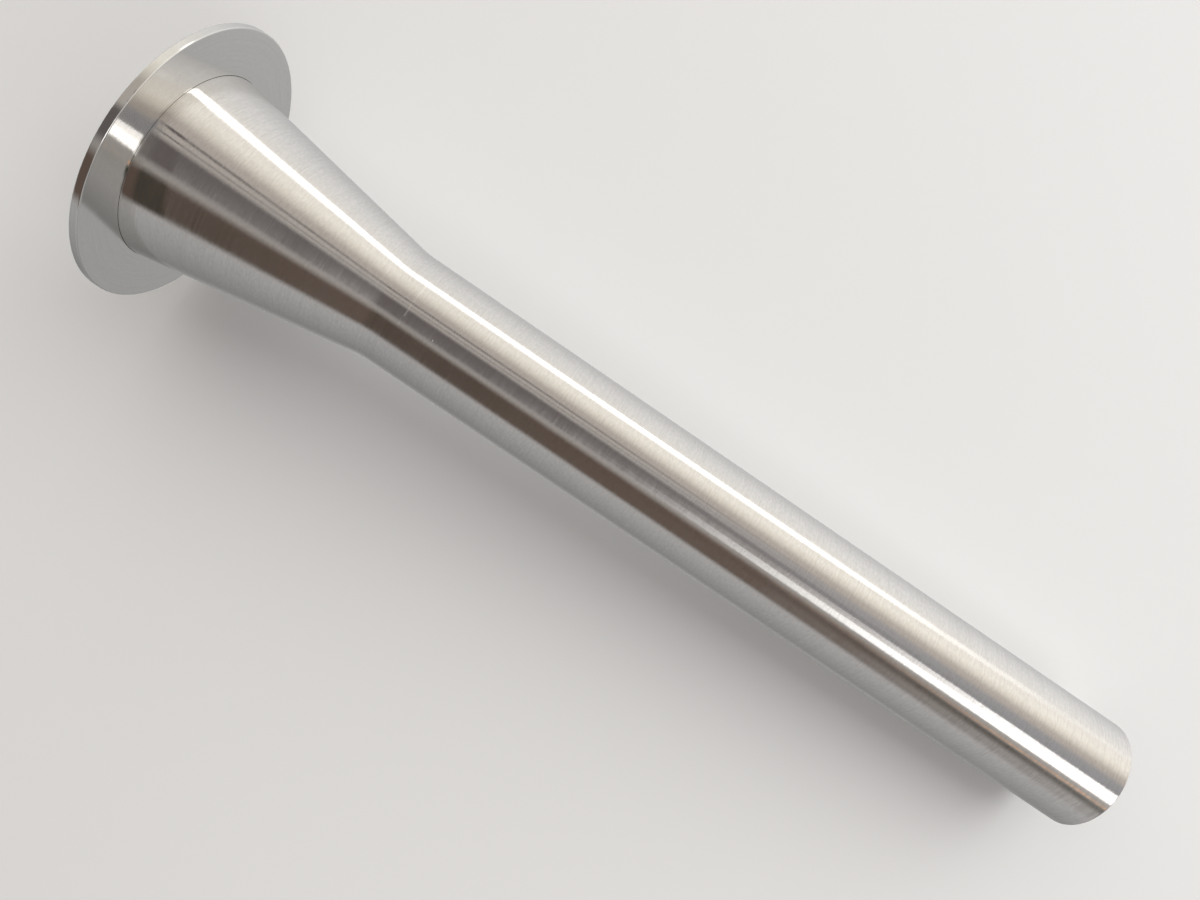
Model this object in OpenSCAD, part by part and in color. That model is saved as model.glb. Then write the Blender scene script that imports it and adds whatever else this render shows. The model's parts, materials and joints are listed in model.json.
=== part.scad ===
// Sausage stuffing tube: a flange disc, a short collar, a cone and a long open tube, in one piece.
// It stands on its flange, with its axis along Z and the origin at the middle of the flange's back.

/* [Flange] */
// Diameter of the flange disc
flange_od = 54; // [44:0.5:80]
// Thickness of the flange disc
flange_thickness = 1.5; // [1:0.1:4]
// Bevel on both edges of the flange's rim
rim_bevel = 0.2; // [0.05:0.05:0.4]
// Width of the fine crevice where the disc meets the collar
crevice_width = 0.15; // [0.05:0.05:0.5]
// Depth of the crevice, measured from the front of the disc
crevice_depth = 0.3; // [0.05:0.05:0.6]

/* [Body] */
// Outside diameter of the straight collar on the flange
collar_od = 36.8; // [30:0.1:42]
// Height of the collar above the flange, up to where the cone starts
collar_height = 1.7; // [1:0.1:12]
// Height of the cone, from the collar to the tube
cone_height = 41.2; // [25:0.1:80]
// Outside diameter of the tube that carries the casing
tube_od = 22.2; // [12:0.1:28]
// Length of the whole part, from the back of the flange to the tip
overall_length = 203.2; // [140:0.1:320]
// Thickness of the wall of the collar, cone and tube
wall = 1; // [0.6:0.05:1.6]

/* [Bends and edges] */
// Outside radius of the bend at the shoulder, where the collar turns into the cone
shoulder_radius = 3; // [2:0.5:12]
// Outside radius of the bend at the waist, where the cone turns into the tube
waist_radius = 14; // [8:1:80]
// Rounding of the inner and outer edges at the tip
tip_round = 0.25; // [0.05:0.05:0.3]
// Bevel of the mouth's inner edge at the back of the flange
mouth_bevel = 0.3; // [0.05:0.05:0.5]

/* [Hidden] */
$fa = 2;

// Straight steps that draw each bend of the section, and each rounded edge
bend_steps = 8;
edge_steps = 4;

flange_r = flange_od / 2;
collar_r = collar_od / 2;
tube_r = tube_od / 2;

// Lean of the cone's wall from the axis
cone_angle = atan2(collar_r - tube_r, cone_height);

// Corners of the outside as [radius, height], before they are bent round
shoulder = [collar_r, flange_thickness + collar_height];
waist = shoulder + [tube_r - collar_r, cone_height];

// The shoulder's bend stays within the collar's height
bend_rise = tan(cone_angle / 2);
shoulder_bend = min(shoulder_radius, 0.8 * collar_height / bend_rise);

// Centres of the two bends: the shoulder's lies inside the body, and the waist's lies outside it
shoulder_centre = shoulder - shoulder_bend * [1, bend_rise];
waist_centre = waist + waist_radius * [1, bend_rise];

// Centres of the rounded edges at the tip
tip_edge_r = min(tip_round, 0.4 * wall);
tip_height = overall_length - tip_edge_r;
outer_tip_centre = [tube_r - tip_edge_r, tip_height];
inner_tip_centre = [tube_r - wall + tip_edge_r, tip_height];

// Points along an arc, from one direction to another
function arc(centre, radius, from, to, steps) = [
    for (i = [0:steps])
        let (a = from + (to - from) * i / steps)
            centre + radius * [cos(a), sin(a)]
];

// The disc: its back, its bevelled rim, its front, and the crevice beside the collar
disc_outline = [
    [collar_r - wall + mouth_bevel, 0],
    [flange_r - rim_bevel, 0],
    [flange_r, rim_bevel],
    [flange_r, flange_thickness - rim_bevel],
    [flange_r - rim_bevel, flange_thickness],
    [collar_r + crevice_width, flange_thickness],
    [collar_r + crevice_width / 2, flange_thickness - crevice_depth],
    [collar_r, flange_thickness],
];

// The outside of the body, from the shoulder's bend to the waist's
body_outside = concat(
    arc(shoulder_centre, shoulder_bend, 0, cone_angle, bend_steps),
    arc(waist_centre, waist_radius, 180 + cone_angle, 180, bend_steps)
);

// The tip: the rounded outer edge, then the rounded inner edge
tip_outline = concat(
    arc(outer_tip_centre, tip_edge_r, 0, 90, edge_steps),
    arc(inner_tip_centre, tip_edge_r, 90, 180, edge_steps)
);

// The inside of the body, a wall's thickness from the outside and back down to the mouth
body_inside = concat(
    arc(waist_centre, waist_radius + wall, 180, 180 + cone_angle, bend_steps),
    arc(shoulder_centre, shoulder_bend - wall, cone_angle, 0, bend_steps),
    [[collar_r - wall, mouth_bevel]]
);

// The whole part, turned from its half section
module stuffing_tube() {
    color("silver")
        rotate_extrude()
            polygon(concat(disc_outline, body_outside, tip_outline, body_inside));
}

stuffing_tube();
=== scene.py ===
# Sausage stuffing tube: a flanged horn of bright stainless steel, standing on its flange, axis along Z.
import bpy
import json
import math
import numpy as np
from mathutils import Matrix, Vector


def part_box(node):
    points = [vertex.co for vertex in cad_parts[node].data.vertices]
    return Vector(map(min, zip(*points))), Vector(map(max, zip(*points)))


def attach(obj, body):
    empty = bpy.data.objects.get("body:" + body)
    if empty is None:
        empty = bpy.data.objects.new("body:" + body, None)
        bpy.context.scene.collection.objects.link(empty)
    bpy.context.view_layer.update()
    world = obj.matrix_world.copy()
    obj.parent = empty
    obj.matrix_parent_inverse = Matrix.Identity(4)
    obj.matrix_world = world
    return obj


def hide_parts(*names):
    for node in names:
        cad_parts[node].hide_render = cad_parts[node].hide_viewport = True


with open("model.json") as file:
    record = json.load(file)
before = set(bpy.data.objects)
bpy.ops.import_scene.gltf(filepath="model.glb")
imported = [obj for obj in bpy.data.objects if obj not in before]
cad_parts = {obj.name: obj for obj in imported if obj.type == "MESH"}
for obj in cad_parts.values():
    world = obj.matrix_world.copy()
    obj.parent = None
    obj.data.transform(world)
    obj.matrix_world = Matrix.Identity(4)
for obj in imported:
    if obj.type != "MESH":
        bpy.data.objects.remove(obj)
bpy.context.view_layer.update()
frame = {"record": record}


# The stuffing tube
# One piece of stainless steel: a disc welded to a short collar, a cone and a long thin-walled tube.
# It is turned and then polished round its axis, so fine hoop lines run round the body and the disc shines.

mounts = {mount["name"]: mount for mount in frame["record"]["mounts"]}
flange_radius = mounts["flange_rim"]["dims"]["r_mm"] / 1000
collar_radius = mounts["collar_outside"]["dims"]["r_mm"] / 1000
tube_radius = mounts["casing_horn"]["dims"]["r_mm"] / 1000
wall = tube_radius - mounts["outlet_bore"]["dims"]["r_mm"] / 1000
flange_thickness = mounts["flange_front"]["pos_m"][2]
overall_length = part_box("stuffing_tube")[1].z
rim_round = 0.0002
crevice_width = 0.00006
crevice_depth = 0.0003
collar_height = 0.0003
cone_height = 0.0426
shoulder_radius = 0.003
waist_radius = 0.014
tip_round = 0.00025
mouth_bevel = 0.0003
sides = 256
shoulder_steps = 12
waist_steps = 16
edge_steps = 6


def straight(start, end, gap):
    """Points on a straight line: both ends, one close to each that holds the shading, and even steps."""
    start, end = np.array(start), np.array(end)
    length = np.linalg.norm(end - start)
    hold_distance = 0.0001
    hold = min(hold_distance, length / 4)
    steps = np.linspace(hold / length, 1 - hold / length, max(2, round(length / gap) + 1))
    shares = np.concatenate([[0], steps, [1]])[:, None]
    return start + shares * (end - start)


def arc(centre, radius, first, last, steps):
    """Points on an arc: the centre plus the radius in each direction from the first angle to the last."""
    angles = np.radians(np.linspace(first, last, steps + 1))
    return np.array(centre) + radius * np.column_stack([np.cos(angles), np.sin(angles)])


cone_lean = math.degrees(math.atan2(collar_radius - tube_radius, cone_height))
bend_rise = math.tan(math.radians(cone_lean / 2))
shoulder = np.array([collar_radius, flange_thickness + collar_height])
waist = shoulder + [tube_radius - collar_radius, cone_height]
shoulder_centre = shoulder - shoulder_radius * np.array([1, bend_rise])
waist_centre = waist + waist_radius * np.array([1, bend_rise])

mouth_radius = collar_radius - wall
bore_radius = tube_radius - wall
tip_start = overall_length - tip_round
rim_centre = flange_radius - rim_round
front_edge = collar_radius + crevice_width
crevice_foot = [collar_radius + crevice_width / 2, flange_thickness - crevice_depth]

shoulder_outside = arc(shoulder_centre, shoulder_radius, 0, cone_lean, shoulder_steps)
waist_outside = arc(waist_centre, waist_radius, 180 + cone_lean, 180, waist_steps)
waist_inside = arc(waist_centre, waist_radius + wall, 180, 180 + cone_lean, waist_steps)
shoulder_inside = arc(shoulder_centre, shoulder_radius - wall, cone_lean, 0, shoulder_steps)
tip_outer = arc([tube_radius - tip_round, tip_start], tip_round, 0, 90, edge_steps)
tip_inner = arc([bore_radius + tip_round, tip_start], tip_round, 90, 180, edge_steps)
rim_back = arc([rim_centre, rim_round], rim_round, 270, 360, edge_steps)
rim_front = arc([rim_centre, flange_thickness - rim_round], rim_round, 0, 90, edge_steps)

# The half section, walked with the steel on the left: each stretch has its finish and its points.
# A straight stretch ends with the gap between its points, in metres.
HOOPS, DISC, INSIDE, CREVICE = range(4)
stretches = [
    (INSIDE, straight([mouth_radius + mouth_bevel, 0], rim_back[0], 0.002)),
    (DISC, rim_back),
    (DISC, straight(rim_back[-1], rim_front[0], 0.0005)),
    (DISC, rim_front),
    (DISC, straight(rim_front[-1], [front_edge, flange_thickness], 0.001)),
    (CREVICE, np.array([[front_edge, flange_thickness], crevice_foot])),
    (CREVICE, np.array([crevice_foot, [collar_radius, flange_thickness]])),
    (HOOPS, straight([collar_radius, flange_thickness], shoulder_outside[0], 0.001)),
    (HOOPS, shoulder_outside),
    (HOOPS, straight(shoulder_outside[-1], waist_outside[0], 0.004)),
    (HOOPS, waist_outside),
    (HOOPS, straight(waist_outside[-1], tip_outer[0], 0.005)),
    (HOOPS, tip_outer),
    (HOOPS, straight(tip_outer[-1], tip_inner[0], 0.0002)),
    (INSIDE, tip_inner),
    (INSIDE, straight(tip_inner[-1], waist_inside[0], 0.005)),
    (INSIDE, waist_inside),
    (INSIDE, straight(waist_inside[-1], shoulder_inside[0], 0.004)),
    (INSIDE, shoulder_inside),
    (INSIDE, straight(shoulder_inside[-1], [mouth_radius, mouth_bevel], 0.002)),
    (INSIDE, np.array([[mouth_radius, mouth_bevel], [mouth_radius + mouth_bevel, 0]])),
]


def turned(name, stretches, sides):
    """Turns a closed half section round Z: the point (r, z) at the angle a lies at (r cos a, r sin a, z).

    The UV map runs along the section in U, as a share of its length, and round the axis in V."""
    section = np.vstack([points[:-1] for finish, points in stretches])
    finishes = np.concatenate([np.full(len(points) - 1, finish) for finish, points in stretches])
    rings = len(section)
    angles = np.linspace(0, 2 * np.pi, sides, endpoint=False)
    round_x = section[:, :1] * np.cos(angles)
    round_y = section[:, :1] * np.sin(angles)
    heights = np.repeat(section[:, 1:], sides, axis=1)
    places = np.stack([round_x, round_y, heights], axis=-1).reshape(-1, 3)

    ring, side = np.meshgrid(np.arange(rings), np.arange(sides), indexing="ij")
    next_ring, next_side = (ring + 1) % rings, (side + 1) % sides
    corners = np.stack([
        ring * sides + side,
        ring * sides + next_side,
        next_ring * sides + next_side,
        next_ring * sides + side,
    ], axis=-1).reshape(-1, 4)

    mesh = bpy.data.meshes.new(name)
    mesh.from_pydata(places, [], corners)
    mesh.polygons.foreach_set("material_index", np.repeat(finishes, sides).astype(np.int32))
    mesh.polygons.foreach_set("use_smooth", np.ones(rings * sides, dtype=bool))

    lengths = np.linalg.norm(np.roll(section, -1, axis=0) - section, axis=1)
    along = np.concatenate([[0], np.cumsum(lengths)]) / lengths.sum()
    u = np.stack([along[ring], along[ring], along[ring + 1], along[ring + 1]], axis=-1)
    v = np.stack([side, side + 1, side + 1, side], axis=-1) / sides
    mesh.uv_layers.new(name="section").data.foreach_set("uv", np.stack([u, v], axis=-1).ravel())
    crease = math.radians(30)
    mesh.set_sharp_from_angle(angle=crease)
    mesh.update()
    piece = bpy.data.objects.new(name, mesh)
    bpy.context.scene.collection.objects.link(piece)
    return piece, lengths.sum()


tube, section_length = turned("bright_stuffing_tube", stretches, sides)


def node(tree, kind, settings=None, **inputs):
    """Adds a shader node, sets its own settings, and fills or links its inputs by name or by number."""
    made = tree.nodes.new(kind)
    for key, value in (settings or {}).items():
        setattr(made, key, value)
    for key, value in inputs.items():
        socket = made.inputs[int(key[1:])] if key[0] == "_" else made.inputs[key.replace("_", " ")]
        if isinstance(value, bpy.types.NodeSocket):
            tree.links.new(value, socket)
        else:
            socket.default_value = value
    return made


def sum_of(tree, operation, first, second=0.0):
    """The result of one Math node."""
    return node(tree, "ShaderNodeMath", {"operation": operation}, _0=first, _1=second).outputs[0]


def spread(tree, value, low, high, to_low, to_high):
    """A value carried in a straight line from low and high to to_low and to_high, and held past the ends."""
    return node(tree, "ShaderNodeMapRange", Value=value, _1=low, _2=high, _3=to_low, _4=to_high).outputs[0]


def polishing_marks():
    """Shader group of the marks that polishing leaves: fine lines round the axis, uneven patches and grain.

    The lines are noise that changes fast along the section and slowly round the axis. The grain is noise in
    short strokes."""
    line_cells = 60.0
    stroke_cells = 1100.0
    stroke_rows = 3200.0
    group = bpy.data.node_groups.new("polishing_marks", "ShaderNodeTree")
    group.interface.new_socket("Line spacing", in_out="INPUT", socket_type="NodeSocketFloat")
    group.interface.new_socket("Patch size", in_out="INPUT", socket_type="NodeSocketFloat")
    group.interface.new_socket("Lines", in_out="OUTPUT", socket_type="NodeSocketFloat")
    group.interface.new_socket("Patches", in_out="OUTPUT", socket_type="NodeSocketFloat")
    group.interface.new_socket("Grain", in_out="OUTPUT", socket_type="NodeSocketFloat")
    given = node(group, "NodeGroupInput")
    place = node(group, "ShaderNodeTexCoord").outputs["Object"]
    split = node(group, "ShaderNodeSeparateXYZ", Vector=place)
    uv = node(group, "ShaderNodeUVMap", {"uv_map": "section"}).outputs["UV"]
    along = node(group, "ShaderNodeSeparateXYZ", Vector=uv).outputs["X"]
    metres = sum_of(group, "MULTIPLY", along, section_length)
    count = sum_of(group, "DIVIDE", metres, given.outputs["Line spacing"])
    x = sum_of(group, "MULTIPLY", split.outputs["X"], line_cells)
    y = sum_of(group, "MULTIPLY", split.outputs["Y"], line_cells)
    drawn = node(group, "ShaderNodeCombineXYZ", X=x, Y=y, Z=count).outputs[0]
    lines = node(group, "ShaderNodeTexNoise", Vector=drawn, Scale=1.0, Detail=3.0, Roughness=0.7)
    x = sum_of(group, "MULTIPLY", split.outputs["X"], stroke_cells)
    y = sum_of(group, "MULTIPLY", split.outputs["Y"], stroke_cells)
    short = sum_of(group, "MULTIPLY", metres, stroke_rows)
    strokes = node(group, "ShaderNodeCombineXYZ", X=x, Y=y, Z=short).outputs[0]
    grain = node(group, "ShaderNodeTexNoise", Vector=strokes, Scale=1.0, Detail=2.0)
    scale = sum_of(group, "DIVIDE", 1.0, given.outputs["Patch size"])
    patches = node(group, "ShaderNodeTexNoise", Vector=place, Scale=scale, Detail=3.0)
    out = node(group, "NodeGroupOutput")
    group.links.new(spread(group, lines.outputs["Fac"], 0.25, 0.75, 0.0, 1.0), out.inputs["Lines"])
    group.links.new(patches.outputs["Fac"], out.inputs["Patches"])
    group.links.new(grain.outputs["Fac"], out.inputs["Grain"])
    return group


def scratch():
    """Shader group of one fine scratch round the axis: a mask about a height and a turn from the front."""
    full_share = 0.6
    group = bpy.data.node_groups.new("scratch", "ShaderNodeTree")
    for name in ("Height", "Width", "Turn", "Reach"):
        group.interface.new_socket(name, in_out="INPUT", socket_type="NodeSocketFloat")
    group.interface.new_socket("Mask", in_out="OUTPUT", socket_type="NodeSocketFloat")
    given = node(group, "NodeGroupInput")
    split = node(group, "ShaderNodeSeparateXYZ", Vector=node(group, "ShaderNodeTexCoord").outputs["Object"])
    off = sum_of(group, "ABSOLUTE", sum_of(group, "SUBTRACT", split.outputs["Z"], given.outputs["Height"]))
    band = spread(group, off, 0.0, given.outputs["Width"], 1.0, 0.0)
    front = sum_of(group, "MULTIPLY", split.outputs["Y"], -1.0)
    angle = sum_of(group, "ARCTAN2", split.outputs["X"], front)
    aside = sum_of(group, "ABSOLUTE", sum_of(group, "SUBTRACT", angle, given.outputs["Turn"]))
    fade = sum_of(group, "MULTIPLY", given.outputs["Reach"], full_share)
    ends = spread(group, aside, fade, given.outputs["Reach"], 1.0, 0.0)
    out = node(group, "NodeGroupOutput")
    group.links.new(sum_of(group, "MULTIPLY", band, ends), out.inputs["Mask"])
    return group


marks_group = polishing_marks()
scratch_group = scratch()


def blended(tree, share, first, second):
    """Two colours mixed by a share."""
    return node(tree, "ShaderNodeMix", {"data_type": "RGBA"}, _0=share, _6=first, _7=second).outputs[2]


def steel(name, bright, dull, smooth, rough, stretch, spacing, patch, depths, speckle,
          bright_below=0.0, scratches=()):
    """Polished stainless steel: colour and roughness follow the polishing marks, which are also a bump.

    The depths are those of the lines, the patches and the grain. The shine is stretched along the section,
    across the lines. Below a height it can be smoother, where the brush doesn't reach into the corner; that
    edge leans a little. Scratches are pale and rough."""
    edge_lean = 0.2
    edge_blur = 0.0005
    corner_share = 0.5
    scratch_colour = (0.90, 0.89, 0.87, 1)
    scratch_roughness = 0.5
    black = (0.0, 0.0, 0.0, 1)
    material = bpy.data.materials.new(name)
    material.use_nodes = True
    tree = material.node_tree
    tree.nodes.clear()
    marks = node(
        tree, "ShaderNodeGroup", {"node_tree": marks_group},
        Line_spacing=spacing, Patch_size=patch,
    )
    lines, patches, grain = marks.outputs["Lines"], marks.outputs["Patches"], marks.outputs["Grain"]
    colour = blended(tree, lines, bright, dull)
    specks = spread(tree, grain, 0.3, 0.7, speckle, 0.0)
    colour = blended(tree, specks, colour, black)
    shine = spread(tree, sum_of(tree, "ADD", lines, patches), 0.6, 1.4, smooth, rough)
    if bright_below:
        place = node(tree, "ShaderNodeTexCoord").outputs["Object"]
        split = node(tree, "ShaderNodeSeparateXYZ", Vector=place)
        lean = sum_of(tree, "MULTIPLY", split.outputs["X"], edge_lean)
        height = sum_of(tree, "SUBTRACT", split.outputs["Z"], lean)
        low, high = bright_below - edge_blur, bright_below + edge_blur
        reach = spread(tree, height, low, high, corner_share, 1.0)
        shine = sum_of(tree, "MULTIPLY", shine, reach)
    for height, width, turn, reach, strength in scratches:
        where = dict(Height=height, Width=width, Turn=math.radians(turn), Reach=math.radians(reach))
        mask = node(tree, "ShaderNodeGroup", {"node_tree": scratch_group}, **where).outputs["Mask"]
        mask = sum_of(tree, "MULTIPLY", mask, strength)
        colour = blended(tree, mask, colour, scratch_colour)
        shine = sum_of(tree, "MAXIMUM", shine, sum_of(tree, "MULTIPLY", mask, scratch_roughness))
    relief = sum_of(tree, "MULTIPLY", lines, depths[0])
    relief = sum_of(tree, "ADD", relief, sum_of(tree, "MULTIPLY", patches, depths[1]))
    relief = sum_of(tree, "ADD", relief, sum_of(tree, "MULTIPLY", grain, depths[2]))
    bump = node(tree, "ShaderNodeBump", Height=relief, Strength=1.0, Distance=1.0)
    tangent = node(tree, "ShaderNodeTangent", {"direction_type": "UV_MAP", "uv_map": "section"})
    shader = node(
        tree, "ShaderNodeBsdfPrincipled",
        Base_Color=colour, Roughness=shine, Normal=bump.outputs[0],
        Tangent=tangent.outputs[0], Metallic=1.0, Anisotropic=stretch,
    )
    out = node(tree, "ShaderNodeOutputMaterial")
    tree.links.new(shader.outputs[0], out.inputs["Surface"])
    return material


# Each scratch has its height and width in metres, its turn and reach in degrees, and its strength.
waist_scratches = [
    (0.0492, 0.00025, -5, 30, 0.35),
    (0.0493, 0.00030, 0, 5, 0.70),
    (0.0556, 0.00025, 7.6, 1.2, 0.80),
]
tube.data.materials.append(steel(
    "hoop_polished_steel", bright=(0.715, 0.695, 0.675, 1), dull=(0.67, 0.65, 0.63, 1),
    smooth=0.13, rough=0.22, stretch=1.0, spacing=0.0003, patch=0.011,
    depths=(3e-6, 4e-6, 6e-6), speckle=0.08, bright_below=0.0068, scratches=waist_scratches,
))
tube.data.materials.append(steel(
    "mirror_polished_disc", bright=(0.70, 0.69, 0.67, 1), dull=(0.66, 0.65, 0.63, 1),
    smooth=0.08, rough=0.15, stretch=0.6, spacing=0.0004, patch=0.003,
    depths=(5e-7, 6e-6, 4e-7), speckle=0.04,
))
tube.data.materials.append(steel(
    "satin_inside", bright=(0.68, 0.66, 0.63, 1), dull=(0.50, 0.48, 0.45, 1),
    smooth=0.28, rough=0.42, stretch=0.7, spacing=0.0005, patch=0.008,
    depths=(8e-6, 1e-5, 1.5e-6), speckle=0.08,
))
tube.data.materials.append(steel(
    "dull_crevice", bright=(0.52, 0.50, 0.48, 1), dull=(0.34, 0.33, 0.31, 1),
    smooth=0.40, rough=0.60, stretch=0.0, spacing=0.0002, patch=0.002,
    depths=(4e-6, 2e-6, 1.5e-6), speckle=0.15,
))

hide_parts("stuffing_tube")
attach(tube, "root")


# The pale board
# A plain matt board that the part leans against along its rim and its tip, as it lies in the camera's view.
# The steel does not mirror it, and seen from behind it is clear, so the part shows from every side.

board_half = 0.30
rim_touch = Vector((0, flange_radius, flange_thickness / 2))
tip_touch = Vector((0, tube_radius, overall_length))
board_up = (tip_touch - rim_touch).normalized()
board_middle = (rim_touch + tip_touch) / 2
across = Vector((board_half, 0, 0))
board_corners = [
    board_middle - across - board_up * board_half,
    board_middle + across - board_up * board_half,
    board_middle + across + board_up * board_half,
    board_middle - across + board_up * board_half,
]
board_mesh = bpy.data.meshes.new("pale_board")
board_mesh.from_pydata(board_corners, [], [(0, 1, 2, 3)])
board = bpy.data.objects.new("pale_board", board_mesh)
bpy.context.scene.collection.objects.link(board)
board.visible_glossy = False

board_paint = bpy.data.materials.new("pale_board")
board_paint.use_nodes = True
tree = board_paint.node_tree
tree.nodes.clear()
matt = node(tree, "ShaderNodeBsdfDiffuse", Color=(0.86, 0.87, 0.88, 1))
clear = node(tree, "ShaderNodeBsdfTransparent")
behind = node(tree, "ShaderNodeNewGeometry").outputs["Backfacing"]
one_sided = node(tree, "ShaderNodeMixShader", _0=behind, _1=matt.outputs[0], _2=clear.outputs[0])
out = node(tree, "ShaderNodeOutputMaterial")
tree.links.new(one_sided.outputs[0], out.inputs["Surface"])
board_mesh.materials.append(board_paint)


# The studio
# A plain room, palest towards -X and dim behind, with a few matt cards and four soft lights in it.
# Angles run round Z from the camera's side, positive towards +X. The camera itself sees only plain pale air.

world = bpy.data.worlds.new("studio")
world.use_nodes = True
bpy.context.scene.world = world
tree = world.node_tree
tree.nodes.clear()
ray = node(tree, "ShaderNodeTexCoord").outputs["Generated"]
split = node(tree, "ShaderNodeSeparateXYZ", Vector=ray)
front = sum_of(tree, "MULTIPLY", split.outputs["Y"], -1.0)
turn = sum_of(tree, "ARCTAN2", split.outputs["X"], front)
round_share = spread(tree, turn, -math.pi, math.pi, 0.0, 1.0)
rise = split.outputs["Z"]

# The tone of the room at each angle, in degrees
room_tones = [
    (-180, (0.45, 0.45, 0.45)),
    (-105, (1.00, 1.00, 1.00)),
    (-52, (1.20, 1.15, 1.05)),
    (-40, (0.95, 0.90, 0.80)),
    (-30, (0.60, 0.55, 0.50)),
    (80, (0.50, 0.50, 0.50)),
    (140, (0.30, 0.30, 0.30)),
    (180, (0.45, 0.45, 0.45)),
]
room_ramp = node(tree, "ShaderNodeValToRGB", Fac=round_share)
while len(room_ramp.color_ramp.elements) < len(room_tones):
    room_ramp.color_ramp.elements.new(0.5)
for stop, (angle, tone) in zip(room_ramp.color_ramp.elements, room_tones):
    stop.position = (angle + 180) / 360
    stop.color = (*tone, 1)


def between(value, stops):
    """One between the second and third stops, nothing outside the first and last, and slopes between."""
    up = spread(tree, value, stops[0], stops[1], 0.0, 1.0)
    down = spread(tree, value, stops[2], stops[3], 1.0, 0.0)
    return sum_of(tree, "MULTIPLY", up, down)


def with_card(room, tone, turns, rises):
    """The room with a card of one tone, which fades in over the first two turns and rises and out over the
    last two.

    Turns are in degrees, and a rise is the Z of the direction to the card, from -1 to 1."""
    across = between(turn, [math.radians(stop) for stop in turns])
    cover = sum_of(tree, "MULTIPLY", across, between(rise, rises))
    return blended(tree, cover, room, (*tone, 1))


black = (0.05, 0.05, 0.04)
grey = (0.40, 0.40, 0.42)
dark_grey = (0.16, 0.14, 0.14)
brown = (0.15, 0.11, 0.09)
copper = (1.60, 0.80, 0.30)

# The upper, front and side cards, the side card's dark foot, two posts, the edge strip and the copper strip
cards = [
    (grey, (-24, -16, 0, 10), (0.10, 0.40, 0.80, 0.90)),
    (dark_grey, (-10, -4, 16, 26), (-1.1, -1.0, 0.10, 0.50)),
    (brown, (22, 34, 64, 72), (-1.1, -1.0, 0.40, 0.60)),
    (black, (26, 34, 64, 70), (-0.27, -0.21, -0.15, -0.10)),
    (dark_grey, (-22, -21, -19, -18), (-0.40, -0.30, 0.00, 0.30)),
    (dark_grey, (-13.5, -12.5, -12, -11), (-0.40, -0.30, 0.00, 0.30)),
    (black, (38, 41, 46, 56), (0.40, 0.55, 0.66, 0.70)),
    (copper, (33, 35, 37, 39), (0.57, 0.60, 0.64, 0.66)),
]
room = room_ramp.outputs["Color"]
for tone, turns, rises in cards:
    room = with_card(room, tone, turns, rises)
strength = spread(tree, rise, -0.6, 0.6, 0.9, 1.1)
carded = node(tree, "ShaderNodeBackground", Color=room, Strength=strength)
plain = node(tree, "ShaderNodeBackground", Color=(0.70, 0.70, 0.70, 1), Strength=1.0)
seen = node(tree, "ShaderNodeLightPath").outputs["Is Camera Ray"]
air = node(tree, "ShaderNodeMixShader", _0=seen, _1=carded.outputs[0], _2=plain.outputs[0])
out = node(tree, "ShaderNodeOutputWorld")
tree.links.new(air.outputs[0], out.inputs["Surface"])


def soft_light(name, angle, distance, height, width, tall, glow, colour, mirrored=True):
    """An upright rectangular light at an angle round Z and a distance from the axis, turned to face the axis.

    Its power is pi times its area times its glow, so the glow is the brightness that the steel mirrors."""
    light = bpy.data.lights.new(name, "AREA")
    light.shape = "RECTANGLE"
    light.size, light.size_y = width, tall
    light.energy = math.pi * width * tall * glow
    light.color = colour
    lamp = bpy.data.objects.new(name, light)
    turn = math.radians(angle)
    lamp.location = (distance * math.sin(turn), -distance * math.cos(turn), height)
    lamp.rotation_euler = (math.radians(90), 0, turn)
    lamp.visible_camera = False
    lamp.visible_glossy = mirrored
    bpy.context.scene.collection.objects.link(lamp)


soft_light(
    "tall_strip", angle=-69, distance=0.9, height=0.05,
    width=0.16, tall=1.0, glow=1.3, colour=(1.0, 1.0, 1.0),
)
soft_light(
    "soft_lamp", angle=13, distance=0.6, height=0.76,
    width=0.24, tall=0.56, glow=1.6, colour=(1.0, 1.0, 1.0),
)
soft_light(
    "lamp_glow", angle=17, distance=0.6, height=0.68,
    width=0.125, tall=0.8, glow=0.9, colour=(0.95, 0.98, 1.0),
)
soft_light(
    "broad_fill", angle=-40, distance=1.0, height=0.40,
    width=0.9, tall=0.9, glow=2.2, colour=(1.0, 1.0, 1.0), mirrored=False,
)


# The camera
# It looks almost square across the axis, a hand's length from the part, and is turned so that the axis
# lies aslant in the picture.

camera_data = bpy.data.cameras.new("camera")
camera_data.lens = 25.47
camera_data.sensor_width = 36
camera_data.clip_start = 0.01
camera = bpy.data.objects.new("camera", camera_data)
right = Vector((-0.56142, -0.04370, 0.82637)).normalized()
up = Vector((-0.82750, 0.03696, -0.56024))
back = right.cross(up).normalized()
up = back.cross(right)
camera_turn = Matrix((right, up, back)).transposed().to_4x4()
camera.matrix_world = Matrix.Translation((0, -0.15819, 0.08151)) @ camera_turn
bpy.context.scene.collection.objects.link(camera)
bpy.context.scene.camera = camera
bpy.context.scene.view_settings.view_transform = "Standard"
